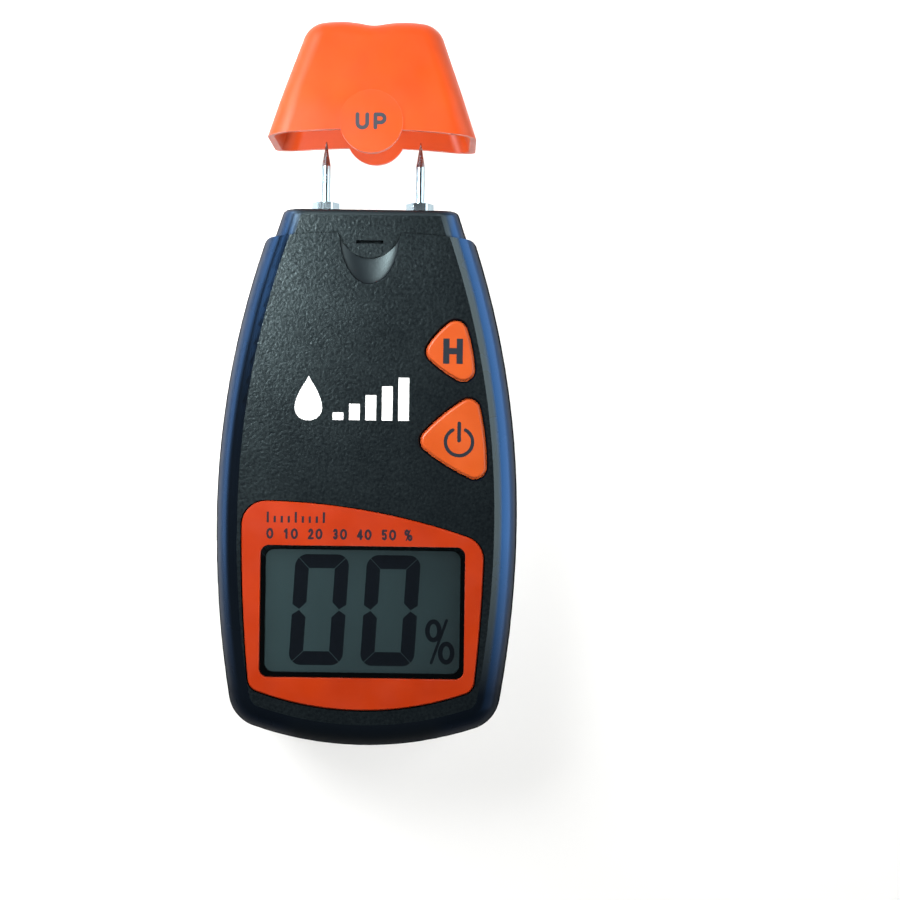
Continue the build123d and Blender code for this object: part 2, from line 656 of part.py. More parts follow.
# ---- electrodes -------------------------------------------------------------------------------
def electrode_block():
    """The insulating block in the nose that holds both sockets."""
    half = BLOCK_HALF_WIDTH
    high = HOUSING_LENGTH - WALL - 0.1
    body = box((-half, BLOCK_LOW, PIN_Z - BLOCK_HALF_DEPTH), (half, high, PIN_Z + BLOCK_HALF_DEPTH))
    for x in PIN_XS:
        body -= shaft(x, PIN_Z, BLOCK_LOW - 1, HOUSING_LENGTH, SOCKET_RADIUS + 0.05)
    return body


def electrode_socket(x):
    """The brass socket that a pin screws into, with a spigot for its solder tag."""
    body = shaft(x, PIN_Z, SOCKET_LOW, HOUSING_LENGTH - WALL - 0.1, SOCKET_RADIUS)
    body -= shaft(x, PIN_Z, STUD_LOW - 1, HOUSING_LENGTH, STUD_RADIUS + STUD_CLEARANCE)
    return body + shaft(x, PIN_Z, SOCKET_LOW - 1.2, SOCKET_LOW, SPIGOT_RADIUS)


def electrode_pin(x):
    """A pointed steel pin on a stud."""
    tip = HOUSING_LENGTH + PIN_REACH
    upright = (Align.CENTER, Align.CENTER, Align.MIN)
    point = Cone(PIN_RADIUS, PIN_TIP_RADIUS, PIN_POINT, align=upright)
    pin = shaft(x, PIN_Z, STUD_LOW, HOUSING_LENGTH + NUT_HEIGHT + 0.3, STUD_RADIUS)
    pin += shaft(x, PIN_Z, HOUSING_LENGTH, tip - PIN_POINT, PIN_RADIUS)
    return pin + Pos(x, tip - PIN_POINT, PIN_Z) * Rot(-90, 0, 0) * point


def electrode_nut(x):
    """The hexagon nut that locks a pin against the nose."""
    hexagon = extrude(RegularPolygon(NUT_FLATS / 2, 6, major_radius=False), NUT_HEIGHT)
    nut = Pos(x, HOUSING_LENGTH, PIN_Z) * Rot(-90, 0, 0) * hexagon
    nut &= shaft(x, PIN_Z, HOUSING_LENGTH, HOUSING_LENGTH + NUT_HEIGHT, 0.555 * NUT_FLATS)
    return nut - shaft(x, PIN_Z, HOUSING_LENGTH - 1, HOUSING_LENGTH + 5, STUD_RADIUS + STUD_CLEARANCE)


def solder_tag(x):
    """The tag behind a socket that its lead is soldered to."""
    low = SOCKET_LOW - TAG_THICKNESS
    half = TAG_WIDTH / 2
    tag = box((x - half, low, PIN_Z - half), (x + half, SOCKET_LOW, TAG_TOP))
    return tag - shaft(x, PIN_Z, low - 1, SOCKET_LOW + 1, SPIGOT_RADIUS)


def lead(x, start, turn, start_z, end_z):
    """An insulated lead that leaves along Y, then turns to the board."""
    ahead = math.copysign(1, turn - start)
    up = math.copysign(1, end_z - start_z)
    bend_from = (x, turn - ahead * LEAD_BEND, start_z)
    bend_to = (x, turn, start_z + up * LEAD_BEND)
    middle = LEAD_BEND * (1 - math.sqrt(0.5))
    bend_middle = (x, turn - ahead * middle, start_z + up * middle)
    run = Line((x, start, start_z), bend_from)
    bend = ThreePointArc(bend_from, bend_middle, bend_to)
    rise = Line(bend_to, (x, turn, end_z))
    section = Plane(origin=(x, start, start_z), z_dir=(0, ahead, 0)) * Circle(LEAD_RADIUS)
    return sweep(section, path=run + bend + rise)


# ---- cells ------------------------------------------------------------------------------------
def battery_cell(x, up):
    """An AAA cell along Y, with its positive end up or down."""
    can = CELL_LENGTH - CELL_NUB
    if up:
        high = BAY_HIGH - CONTACT_THICKNESS - 2 * CONTACT_GAP
        nub = shaft(x, CELL_Z, high - CELL_NUB - 1, high, CELL_NUB_RADIUS)
        return shaft(x, CELL_Z, high - CELL_LENGTH, high - CELL_NUB, CELL_RADIUS) + nub
    low = BAY_LOW + CONTACT_THICKNESS + 2 * CONTACT_GAP
    nub = shaft(x, CELL_Z, low, low + CELL_NUB + 1, CELL_NUB_RADIUS)
    return shaft(x, CELL_Z, low + CELL_NUB, low + CELL_NUB + can, CELL_RADIUS) + nub


def battery_link():
    """The plate at the bay's lower end that joins the two cells."""
    low = BAY_LOW + CONTACT_GAP
    return box((-CELL_X - 4, low, CELL_Z - 4), (CELL_X + 4, low + CONTACT_THICKNESS, CELL_Z + 4))


def battery_terminal(x):
    """A plate at the bay's upper end, with a tail through the bay's ceiling."""
    high = BAY_HIGH - CONTACT_GAP
    low = high - CONTACT_THICKNESS
    plate = box((x - 4, low, CELL_Z - 4), (x + 4, high, CELL_Z + 4))
    return plate + box((x - 1.2, low, CELL_Z), (x + 1.2, high, BOARD_BOTTOM - 0.5))


def battery_spring(x, low, high):
    """The coil that presses on a cell's negative end: one ring on another, joined by its wire."""
    wire = 0.25
    rings = 3
    step = (high - low - 2 * wire) / (rings - 1)
    coil = Part()
    for i in range(rings):
        coil += Pos(x, low + wire + i * step, CELL_Z) * Rot(90, 0, 0) * Torus(3.2, wire)
    return coil + shaft(x + 3.2, CELL_Z, low + wire, high - wire, wire)


# ---- screws -----------------------------------------------------------------------------------
def screw(x, y, seat, length, radius, head_radius):
    """A cross-head screw driven from the back, with its head's seat at z = seat."""
    low = seat - SCREW_HEAD_HEIGHT
    body = rod(x, y, low, seat, head_radius)
    body = fillet(body.edges().sort_by(Axis.Z)[0], 0.4)
    body += rod(x, y, seat, seat + length, radius)
    for width, height in ((2.2, 0.6), (0.6, 2.2)):
        body -= block(x, y, width, height, low - 1, low + RECESS_DEPTH)
    return body


def case_screws():
    """The four screws that hold the shells together."""
    seat = RECESS_DEPTH + SCREW_HEAD_HEIGHT
    size = (seat, CASE_SCREW_LENGTH, CASE_SCREW_RADIUS, CASE_SCREW_HEAD_RADIUS)
    return [screw(x, y, *size) for x, y in CASE_SCREWS]


def board_screws():
    """The three screws that hold the board to the front shell."""
    size = (BOARD_BOTTOM, BOARD_SCREW_LENGTH, BOARD_SCREW_RADIUS, BOARD_SCREW_HEAD_RADIUS)
    return [screw(x, y, *size) for x, y in BOARD_SCREWS]


# ---- writing the pieces -----------------------------------------------------------------------
def export_piece(name, solids):
    """Write one node, moved so that the origin is halfway up the housing."""
    solids = solids if isinstance(solids, list) else [solids]
    shape = Pos(0, -HOUSING_LENGTH / 2, 0) * group(solids)
    export_step(shape, f"parts/{name}.step")


def export_all():
    """Build every piece and write it to parts/."""
    os.makedirs("parts", exist_ok=True)
    shell = casing()
    left, right = PIN_XS
    reach = GLASS_HEIGHT - 2 * CONTACT_EDGE
    film_height = WINDOW_HEIGHT - 1
    film_width = WINDOW_WIDTH + 1
    rear_glass_low = GLASS_TOP - 2 * GLASS_THICKNESS
    rear_film_low = rear_glass_low - POLARIZER_THICKNESS
    keys = (HOLD_KEY, POWER_KEY)
    spring_gap = 2 * CONTACT_GAP + CONTACT_THICKNESS
    link_top = BAY_LOW + CONTACT_GAP + CONTACT_THICKNESS
    cell_low = BAY_HIGH - spring_gap - CELL_LENGTH
    cell_high = BAY_LOW + spring_gap + CELL_LENGTH
    capacitors = [(x, 74.0) for x in (-8, -5, -2, 1)] + [(-8.0, 52.5), (8.0, 52.0)]
    resistors = [(x, 78.0) for x in (-8, -5, 4, 7)] + [(x, 56.0) for x in (-6, -3, 0)]
    tail_z = BOARD_BOTTOM - 1.05
    pieces = {
        "front_shell": front_shell(shell),
        "rear_shell": rear_shell(shell),
        "battery_door": battery_door(),
        "display_surround": display_surround(),
        "display_window": display_window(),
        "lcd_front_polarizer": lcd_pane(film_height, GLASS_TOP, POLARIZER_THICKNESS, film_width),
        "lcd_front_glass": lcd_pane(GLASS_HEIGHT, GLASS_TOP - GLASS_THICKNESS, GLASS_THICKNESS),
        "lcd_rear_glass": lcd_pane(reach, rear_glass_low, GLASS_THICKNESS),
        "lcd_rear_polarizer": lcd_pane(film_height, rear_film_low, POLARIZER_THICKNESS),
        "lcd_frame": lcd_frame(),
        "zebra_strips": zebra_strips(),
        "circuit_board": circuit_board(),
        "controller_chip": chip(0, 64, 9, 9, 1.5, 12, 0.7),
        "amplifier_chip": chip(-1, 82, 4, 5, 1.6, 4, 1.27),
        "chip_capacitors": small_chips(capacitors, 1.6, 0.8, 0.8),
        "chip_resistors": small_chips(resistors, 1.6, 0.8, 0.45),
        "smoothing_capacitor": rod(-20, 80, BOARD_TOP, BOARD_TOP + 5, 3.15),
        "calibration_trimmers": [trimmer(-11, 80.5), trimmer(-11, 87)],
        "crystal": shaft(8, BOARD_TOP + 1.6, 53, 61, 1.55),
        "buzzer": buzzer(),
        "switch_bodies": [switch_body(corners) for corners in keys],
        "hold_switch_plunger": switch_plunger(HOLD_KEY),
        "power_switch_plunger": switch_plunger(POWER_KEY),
        "hold_key": key(HOLD_KEY),
        "power_key": key(POWER_KEY),
        "electrode_block": electrode_block(),
        "electrode_socket_left": electrode_socket(left),
        "electrode_socket_right": electrode_socket(right),
        "electrode_pin_left": electrode_pin(left),
        "electrode_pin_right": electrode_pin(right),
        "electrode_nuts": [electrode_nut(x) for x in PIN_XS],
        "solder_tags": [solder_tag(x) for x in PIN_XS],
        "electrode_lead_left": lead(left, SOCKET_LOW - TAG_THICKNESS, 92, TAG_TOP - 0.7, BOARD_TOP),
        "electrode_lead_right": lead(right, SOCKET_LOW - TAG_THICKNESS, 92, TAG_TOP - 0.7, BOARD_TOP),
        "battery_cell_left": battery_cell(-CELL_X, True),
        "battery_cell_right": battery_cell(CELL_X, False),
        "battery_link": battery_link(),
        "battery_terminals": [battery_terminal(x) for x in (-CELL_X, CELL_X)],
        "battery_springs": [
            battery_spring(-CELL_X, link_top, cell_low),
            battery_spring(CELL_X, cell_high, BAY_HIGH - CONTACT_GAP - CONTACT_THICKNESS),
        ],
        "battery_lead_red": lead(-CELL_X, BAY_HIGH - CONTACT_GAP, 59, tail_z, BOARD_BOTTOM),
        "battery_lead_black": lead(CELL_X, BAY_HIGH - CONTACT_GAP, 59, tail_z, BOARD_BOTTOM),
        "case_screws": case_screws(),
        "board_screws": board_screws(),
        "pin_cap": pin_cap(),
    }
    for name, solids in pieces.items():
        export_piece(name, solids)


export_all()
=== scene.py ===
"""A two-pin moisture meter: materials, ink, display figures, light and camera."""

import math

import bmesh
import bpy
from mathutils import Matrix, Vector


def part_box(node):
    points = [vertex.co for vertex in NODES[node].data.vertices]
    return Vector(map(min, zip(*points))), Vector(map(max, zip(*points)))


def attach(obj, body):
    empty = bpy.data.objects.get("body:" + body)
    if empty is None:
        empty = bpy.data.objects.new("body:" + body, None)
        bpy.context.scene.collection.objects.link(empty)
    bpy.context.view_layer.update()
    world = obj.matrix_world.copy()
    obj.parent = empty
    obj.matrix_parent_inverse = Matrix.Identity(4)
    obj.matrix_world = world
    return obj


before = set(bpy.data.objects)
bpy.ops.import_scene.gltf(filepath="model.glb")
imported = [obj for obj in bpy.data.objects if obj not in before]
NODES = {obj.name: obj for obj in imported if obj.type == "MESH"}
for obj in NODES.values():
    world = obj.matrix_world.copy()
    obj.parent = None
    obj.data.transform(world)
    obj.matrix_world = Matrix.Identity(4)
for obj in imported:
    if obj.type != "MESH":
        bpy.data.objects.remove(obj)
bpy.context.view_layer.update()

MM = 0.001
METER = "meter"

# ---- places that follow from the frame --------------------------------------------------------
FACE_LOW, FACE_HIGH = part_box("front_shell")
SURROUND_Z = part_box("display_surround")[1].z
FILM_LOW, FILM_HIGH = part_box("lcd_front_polarizer")
HOUSING_WIDTH = FACE_HIGH.x - FACE_LOW.x
FACE_Z = FACE_HIGH.z
INK = 0.02 * MM  # thickness of printed ink
SUNK = 0.8 * INK  # how much of it lies below the surface it is printed on
LAYER_STEP = 0.1  # by which strokes that cross differ in thickness, as a share of it
LAYERS = 3  # how many thicknesses there are


# ---- node helpers -----------------------------------------------------------------------------
COLOUR_SOCKETS = (0, 6, 7)  # the Mix node's factor and its two colours
COLOUR_RESULT = 2
NUMBER_SOCKETS = (0, 2, 3)  # the Mix node's factor and its two numbers
NUMBER_RESULT = 0
SHADED, UNSHADED = 0.45, 0.92  # what ambient occlusion gives in a gap and on an open face


class Shader:
    """A material under construction, with short ways to add and join its nodes."""

    def __init__(self, name):
        self.material = bpy.data.materials.new(name)
        self.material.use_nodes = True
        self.tree = self.material.node_tree
        self.bsdf = self.tree.nodes["Principled BSDF"]
        self.output = self.tree.nodes["Material Output"]
        coordinates = self.node("ShaderNodeTexCoord")
        millimetres = self.node("ShaderNodeMapping")
        millimetres.inputs["Scale"].default_value = (1 / MM, 1 / MM, 1 / MM)
        self.join(coordinates.outputs["Object"], millimetres.inputs["Vector"])
        self.place = millimetres.outputs["Vector"]

    def node(self, kind, **settings):
        """A new node of that kind, with these settings."""
        made = self.tree.nodes.new(kind)
        for key, value in settings.items():
            setattr(made, key, value)
        return made

    def join(self, source, target):
        """Links an output to an input."""
        self.tree.links.new(source, target)

    def feed(self, target, value):
        """Sets an input to a number or colour, or joins another node's output to it."""
        if isinstance(value, bpy.types.NodeSocket):
            self.join(value, target)
        elif isinstance(value, (tuple, list)) and len(value) == 3 and target.type == "RGBA":
            target.default_value = (*value, 1)
        else:
            target.default_value = value

    def noise(self, size, detail, roughness=0.5, stretch=None):
        """Noise from 0 to 1 whose blotches are about size millimetres across."""
        texture = self.node("ShaderNodeTexNoise")
        texture.inputs["Scale"].default_value = 1 / size
        texture.inputs["Detail"].default_value = detail
        texture.inputs["Roughness"].default_value = roughness
        place = self.place
        if stretch:
            squeeze = self.node("ShaderNodeMapping")
            squeeze.inputs["Scale"].default_value = stretch
            self.join(place, squeeze.inputs["Vector"])
            place = squeeze.outputs["Vector"]
        self.join(place, texture.inputs["Vector"])
        return texture.outputs["Fac"]

    def cells(self, size, feature="F1"):
        """Distance to the nearest of many points about size millimetres apart."""
        texture = self.node("ShaderNodeTexVoronoi", feature=feature)
        texture.inputs["Scale"].default_value = 1 / size
        self.join(self.place, texture.inputs["Vector"])
        return texture.outputs["Distance"]

    def remap(self, value, low, high, to_low=0.0, to_high=1.0):
        """Value with low to high stretched to to_low to to_high, and held at their ends."""
        made = self.node("ShaderNodeMapRange")
        self.join(value, made.inputs["Value"])
        made.inputs["From Min"].default_value = low
        made.inputs["From Max"].default_value = high
        made.inputs["To Min"].default_value = to_low
        made.inputs["To Max"].default_value = to_high
        return made.outputs["Result"]

    def math(self, operation, first, second=0.0):
        """The result of that operation on two numbers."""
        made = self.node("ShaderNodeMath", operation=operation)
        self.feed(made.inputs[0], first)
        self.feed(made.inputs[1], second)
        return made.outputs[0]

    def mix(self, factor, first, second):
        """A colour that goes from first to second as factor goes from 0 to 1."""
        made = self.node("ShaderNodeMix", data_type="RGBA")
        for socket, value in zip(COLOUR_SOCKETS, (factor, first, second)):
            self.feed(made.inputs[socket], value)
        return made.outputs[COLOUR_RESULT]

    def bump(self, height, depth, strength=1.0):
        """Adds relief of that depth in millimetres to the surface."""
        made = self.node("ShaderNodeBump")
        made.inputs["Distance"].default_value = depth * MM
        self.feed(made.inputs["Strength"], strength)
        self.join(height, made.inputs["Height"])
        normal = self.bsdf.inputs["Normal"]
        if normal.is_linked:
            self.join(normal.links[0].from_socket, made.inputs["Normal"])
        self.join(made.outputs["Normal"], normal)

    def set(self, **values):
        """Sets inputs of the surface, such as Base_Color or Roughness."""
        for key, value in values.items():
            self.feed(self.bsdf.inputs[key.replace("_", " ")], value)

    def blend(self, factor, first, second):
        """A number that goes from first to second as factor goes from 0 to 1."""
        made = self.node("ShaderNodeMix")
        for socket, value in zip(NUMBER_SOCKETS, (factor, first, second)):
            self.feed(made.inputs[socket], value)
        return made.outputs[NUMBER_RESULT]

    def facing(self, low, high):
        """0 where the surface's tilt has a cosine below low, 1 where it is above high."""
        geometry = self.node("ShaderNodeNewGeometry")
        split = self.node("ShaderNodeSeparateXYZ")
        self.join(geometry.outputs["Normal"], split.inputs[0])
        return self.remap(self.math("ABSOLUTE", split.outputs["Z"]), low, high)

    def along(self, axis, low, high):
        """0 where that coordinate is below low millimetres, 1 where it is above high."""
        split = self.node("ShaderNodeSeparateXYZ")
        self.join(self.place, split.inputs[0])
        return self.remap(split.outputs[axis], low, high)

    def openness(self, reach):
        """0 deep in gaps and inner corners, 1 about reach millimetres away from them."""
        made = self.node("ShaderNodeAmbientOcclusion", samples=6)
        made.inputs["Distance"].default_value = reach * MM
        return self.remap(made.outputs["AO"], SHADED, UNSHADED)

    def edge(self, radius, low, high):
        """1 along sharp edges and 0 elsewhere, for wear."""
        bevel = self.node("ShaderNodeBevel", samples=4)
        bevel.inputs["Radius"].default_value = radius * MM
        geometry = self.node("ShaderNodeNewGeometry")
        dot = self.node("ShaderNodeVectorMath", operation="DOT_PRODUCT")
        self.join(bevel.outputs["Normal"], dot.inputs[0])
        self.join(geometry.outputs["Normal"], dot.inputs[1])
        return self.remap(self.math("SUBTRACT", 1.0, dot.outputs["Value"]), low, high)


# ---- materials --------------------------------------------------------------------------------
# Pairs of cosines of the surface's tilt, from where a zone isn't there yet to where it is full.
FLAT_TILT = (0.9975, 0.9995)
CREASE_TILT = (0.86, 0.93)
# the tilts where the painted reflection line on the right shoulder lies
REFLECTION_LINE_TILT = (0.935, 0.970)
ROLL_TILT = (0.34, 0.78)
WALL_TILT = (0.16, 0.05)

# Places on the housing, in millimetres.
LEFT_HALF = (4, -4)
RIGHT_SIDE = (14, 18)
LEFT_SIDE = (-14, -18)
LOWER_END = (-50, -40)
LOWER_FADE = (-46, -12)

# Tints of the shell's reflections, a painted reflection colour that stands in for bluish light:
# blue on the sides, paler blue on the walls, faintly cyan elsewhere.
GREY_SHEEN = (0.72, 0.96, 1.0)
BLUE_SHEEN = (0.12, 0.39, 1.0)
WALL_SHEEN = (0.50, 0.72, 1.0)


def shell_plastic():
    """Charcoal ABS with grained flats, satin sides, matt walls and a painted reflection as a
    pale line on the right shoulder.
    """
    s = Shader("shell_plastic")
    flat = s.facing(*FLAT_TILT)
    rolled = s.facing(*ROLL_TILT)
    wall = s.facing(*WALL_TILT)
    crease = s.facing(*CREASE_TILT)
    left = s.along("X", *LEFT_HALF)
    right = s.along("X", *RIGHT_SIDE)
    sides = s.math("MAXIMUM", right, s.along("X", *LEFT_SIDE))
    painted_shade_openness = s.openness(0.8)
    speckle = s.noise(0.62, detail=2, roughness=0.6)
    upper = s.along("Y", *LOWER_FADE)

    cloud = s.noise(22, detail=4)
    face = s.mix(cloud, (0.0010, 0.0018, 0.0030), (0.0018, 0.0030, 0.0042))
    roll = s.mix(cloud, (0.0020, 0.0032, 0.0050), (0.0030, 0.0046, 0.0070))
    colour = s.mix(flat, s.mix(wall, roll, (0.0085, 0.0100, 0.0112)), face)
    # a painted reflection: a paler line along the top of the right shoulder, which fades towards
    # the lower end
    line = s.math("MULTIPLY", s.facing(*REFLECTION_LINE_TILT), s.math("SUBTRACT", right, flat))
    line = s.math("MULTIPLY", s.math("MAXIMUM", line, 0.0), upper)
    colour = s.mix(line, colour, (0.056, 0.072, 0.073))
    rubbed = s.edge(0.25, low=0.12, high=0.4)
    wear = s.math("MULTIPLY", rubbed, s.remap(s.noise(3.5, detail=4), 0.42, 0.66))
    colour = s.mix(s.math("MULTIPLY", wear, 0.3), colour, (0.034, 0.042, 0.046))
    dust = s.remap(s.cells(1.9), 0.0, 0.05, 1.0, 0.0)
    colour = s.mix(s.math("MULTIPLY", dust, 0.06), colour, (0.12, 0.13, 0.13))
    # painted shade: the colour goes nearly black in gaps and inner corners, where ambient
    # occlusion finds little open space
    colour = s.mix(painted_shade_openness, (0.0010, 0.0014, 0.0018), colour)

    smudge = s.noise(11, detail=3)
    grainy = s.remap(smudge, 0.3, 0.7, 0.28, 0.31)
    satin = s.blend(sides, 0.44, s.remap(smudge, 0.3, 0.7, 0.24, 0.30))
    rough = s.blend(flat, s.blend(rolled, 0.55, satin), grainy)

    # the sides shine, except in the left crease; the nose, scoop and lower end are duller
    side = s.remap(upper, 0, 1, 0.10, 1.45)
    side = s.blend(s.math("MULTIPLY", crease, left), side, 0.05)
    end = s.remap(s.along("Y", *LOWER_END), 0, 1, 0.05, 0.50)
    bright = s.blend(sides, end, side)
    gloss = s.blend(rolled, s.blend(wall, 0.0, 0.20), bright)
    gloss = s.blend(flat, gloss, s.remap(speckle, 0.30, 0.70, 0.50, 1.15))
    # painted reflection colour: the shell's reflections take the tints above
    tint = s.mix(flat, s.mix(sides, GREY_SHEEN, BLUE_SHEEN), GREY_SHEEN)
    tint = s.mix(wall, tint, WALL_SHEEN)
    s.set(Base_Color=colour, Roughness=rough, Specular_Tint=tint)
    # painted shade: the gloss is cut in the same gaps and inner corners
    s.set(Specular_IOR_Level=s.math("MULTIPLY", gloss, painted_shade_openness))

    grain = s.math("MULTIPLY", flat, 0.8)
    s.bump(speckle, 0.055, grain)
    s.bump(s.cells(0.60, "SMOOTH_F1"), 0.035, grain)
    s.bump(s.noise(0.9, detail=2), 0.02, 0.10)
    return s.material


def orange_plastic(name, deep, light, roughness, grain, translucency=0.03):
    """Moulded orange plastic with slight colour drift, fine grain and paler rubbed edges."""
    s = Shader(name)
    cloud = s.noise(9, detail=4)
    colour = s.mix(s.remap(cloud, 0.3, 0.7), deep, light)
    speck = s.remap(s.cells(1.3), 0.0, 0.045, 1.0, 0.0)
    colour = s.mix(s.math("MULTIPLY", speck, 0.25), colour, tuple(0.45 * c for c in deep))
    worn = tuple(min(1.0, c + 0.12) for c in light)
    rubbed = s.edge(0.25, low=0.02, high=0.3)
    wear = s.math("MULTIPLY", rubbed, s.remap(s.noise(2.2, detail=4), 0.38, 0.62))
    colour = s.mix(s.math("MULTIPLY", wear, 0.45), colour, worn)
    gloss = s.remap(s.noise(6, detail=3), 0.3, 0.7, roughness - 0.05, roughness + 0.06)
    s.set(Base_Color=colour, Roughness=gloss, Specular_IOR_Level=0.32)
    s.set(Subsurface_Weight=translucency, Subsurface_Scale=0.8 * MM)
    s.set(Subsurface_Radius=(1.0, 0.25, 0.08))
    s.bump(s.noise(grain, detail=3, roughness=0.6), 0.03, 0.35)
    s.bump(s.noise(4.5, detail=2), 0.05, 0.12)
    return s.material


def metal(name, colour, roughness, tint, size=0.25, stretch=(1, 0.08, 1)):
    """Machined metal with fine turning marks, a little tarnish and scratches."""
    s = Shader(name)
    tarnish = s.remap(s.noise(1.8, detail=5), 0.35, 0.75)
    base = s.mix(s.math("MULTIPLY", tarnish, 0.5), colour, tint)
    grooves = s.noise(size, detail=3, roughness=0.6, stretch=stretch)
    rough = s.remap(grooves, 0.2, 0.8, roughness - 0.06, roughness + 0.10)
    s.set(Base_Color=base, Metallic=1.0, Roughness=rough)
    s.bump(grooves, 0.01, 0.5)
    return s.material


def moulded(name, dark, light, roughness, grain=0.35, size=4.0):
    """A plain technical plastic, with flow marks and a light grain."""
    s = Shader(name)
    colour = s.mix(s.remap(s.noise(size, detail=4), 0.3, 0.7), dark, light)
    rough = s.remap(s.noise(2.5, detail=3), 0.3, 0.7, roughness - 0.05, roughness + 0.08)
    s.set(Base_Color=colour, Roughness=rough)
    s.bump(s.noise(grain, detail=3), 0.02, 0.4)
    return s.material


SQUARE_ON = 0.04  # the share of light that clear acrylic reflects when it is met square on


def clear_window():
    """Clear acrylic: mostly see-through, with faint reflections and a few wipe marks."""
    s = Shader("clear_window")
    clear = s.node("ShaderNodeBsdfTransparent")
    clear.inputs["Color"].default_value = (0.90, 0.93, 0.93, 1)
    gloss = s.node("ShaderNodeBsdfGlossy")
    marks = s.remap(s.noise(5, detail=4, roughness=0.6, stretch=(1, 0.25, 1)), 0.35, 0.75)
    s.join(s.remap(marks, 0, 1, 0.05, 0.16), gloss.inputs["Roughness"])
    tilt = s.node("ShaderNodeLayerWeight")
    tilt.inputs["Blend"].default_value = 0.5
    glance = s.math("POWER", tilt.outputs["Facing"], 5.0)
    blend = s.node("ShaderNodeMixShader")
    s.join(s.remap(glance, 0, 1, SQUARE_ON, 1.0), blend.inputs[0])
    s.join(clear.outputs[0], blend.inputs[1])
    s.join(gloss.outputs[0], blend.inputs[2])
    s.join(blend.outputs[0], s.output.inputs["Surface"])
    return s.material


# The span of the film's painted light, which is strongest at the left.
FILM_PAINTED_LIGHT_SPAN = (24, -24)  # where the film is darkest and palest, in millimetres


def lcd_film():
    """The display's grey-green film, with painted light that makes it paler towards the left,
    and a faint pearl.
    """
    s = Shader("lcd_film")
    pearl = s.noise(0.35, detail=2)
    # painted light: three quarters of the film's shading is a fade from right to left, the rest
    # random drift
    painted_light_and_drift = s.blend(0.75, s.remap(s.noise(26, detail=2), 0.3, 0.7), s.along("X", *FILM_PAINTED_LIGHT_SPAN))
    colour = s.mix(painted_light_and_drift, (0.011, 0.018, 0.021), (0.029, 0.051, 0.055))
    colour = s.mix(s.math("MULTIPLY", pearl, 0.22), colour, (0.034, 0.055, 0.060))
    s.set(Base_Color=colour, Roughness=0.42, Specular_IOR_Level=0.2)
    s.bump(s.noise(0.2, detail=2), 0.008, 0.4)
    return s.material


def lcd_glass():
    """Thin soda glass, greenish at its edges."""
    s = Shader("lcd_glass")
    tint = s.mix(s.remap(s.noise(8, detail=3), 0.3, 0.7), (0.60, 0.74, 0.70), (0.70, 0.80, 0.77))
    s.set(Base_Color=tint, Roughness=0.08, Transmission_Weight=0.6, IOR=1.5)
    s.bump(s.noise(3.0, detail=2), 0.004, 0.3)
    return s.material


def ink(name, colour, roughness=0.5, speckle=0.3, gloss=0.4):
    """Pad-printed ink, slightly uneven and pinholed."""
    s = Shader(name)
    patch = s.remap(s.noise(0.7, detail=4), 0.3, 0.75)
    shade = s.mix(s.math("MULTIPLY", patch, speckle), colour, tuple(0.72 * c for c in colour))
    s.set(Base_Color=shade, Roughness=s.remap(patch, 0, 1, roughness - 0.06, roughness + 0.1))
    s.set(Specular_IOR_Level=gloss)
    s.bump(s.noise(0.18, detail=2), 0.006, 0.5)
    return s.material


def board_mask():
    """Green solder mask over copper tracks."""
    s = Shader("board_mask")
    tracks = s.node("ShaderNodeTexBrick")
    tracks.inputs["Scale"].default_value = 0.18
    tracks.inputs["Mortar Size"].default_value = 0.03
    s.join(s.place, tracks.inputs["Vector"])
    colour = s.mix(tracks.outputs["Fac"], (0.010, 0.080, 0.030), (0.030, 0.150, 0.060))
    colour = s.mix(s.math("MULTIPLY", s.noise(6, detail=3), 0.3), colour, (0.008, 0.050, 0.022))
    s.set(Base_Color=colour, Roughness=0.33)
    s.bump(tracks.outputs["Fac"], 0.03, 0.6)
    return s.material


SLEEVE_CHANGE = (-20.0, -19.6)  # where the cells' sleeves change colour, in millimetres


def cell_wrap():
    """A cell's printed sleeve: copper-coloured towards the lower end and dark above."""
    s = Shader("cell_wrap")
    band = s.along("Y", *SLEEVE_CHANGE)
    colour = s.mix(band, (0.55, 0.30, 0.12), (0.018, 0.020, 0.026))
    colour = s.mix(s.math("MULTIPLY", s.noise(3, detail=4), 0.25), colour, (0.08, 0.08, 0.09))
    s.set(Base_Color=colour, Roughness=0.25, Metallic=0.35, Coat_Weight=0.4, Coat_Roughness=0.12)
    s.bump(s.noise(1.5, detail=3, roughness=0.5, stretch=(1, 0.1, 1)), 0.02, 0.3)
    return s.material


FLOOR_GLOW = 0.75
GLOW_REACH = (350, 1500)  # where the glow starts and where it is full, in millimetres


def floor_paper():
    """Matt white paper, which glows a little far from the meter so that it stays pale."""
    s = Shader("floor_paper")
    colour = s.mix(s.noise(60, detail=3), (0.79, 0.79, 0.78), (0.83, 0.83, 0.82))
    s.set(Base_Color=colour, Roughness=0.85, Specular_IOR_Level=0.2)
    s.bump(s.noise(0.8, detail=3), 0.02, 0.2)
    reach = s.node("ShaderNodeVectorMath", operation="LENGTH")
    s.join(s.place, reach.inputs[0])
    glow = s.remap(reach.outputs["Value"], *GLOW_REACH, 0.0, FLOOR_GLOW)
    s.set(Emission_Color=(1.0, 1.0, 1.0), Emission_Strength=glow)
    return s.material


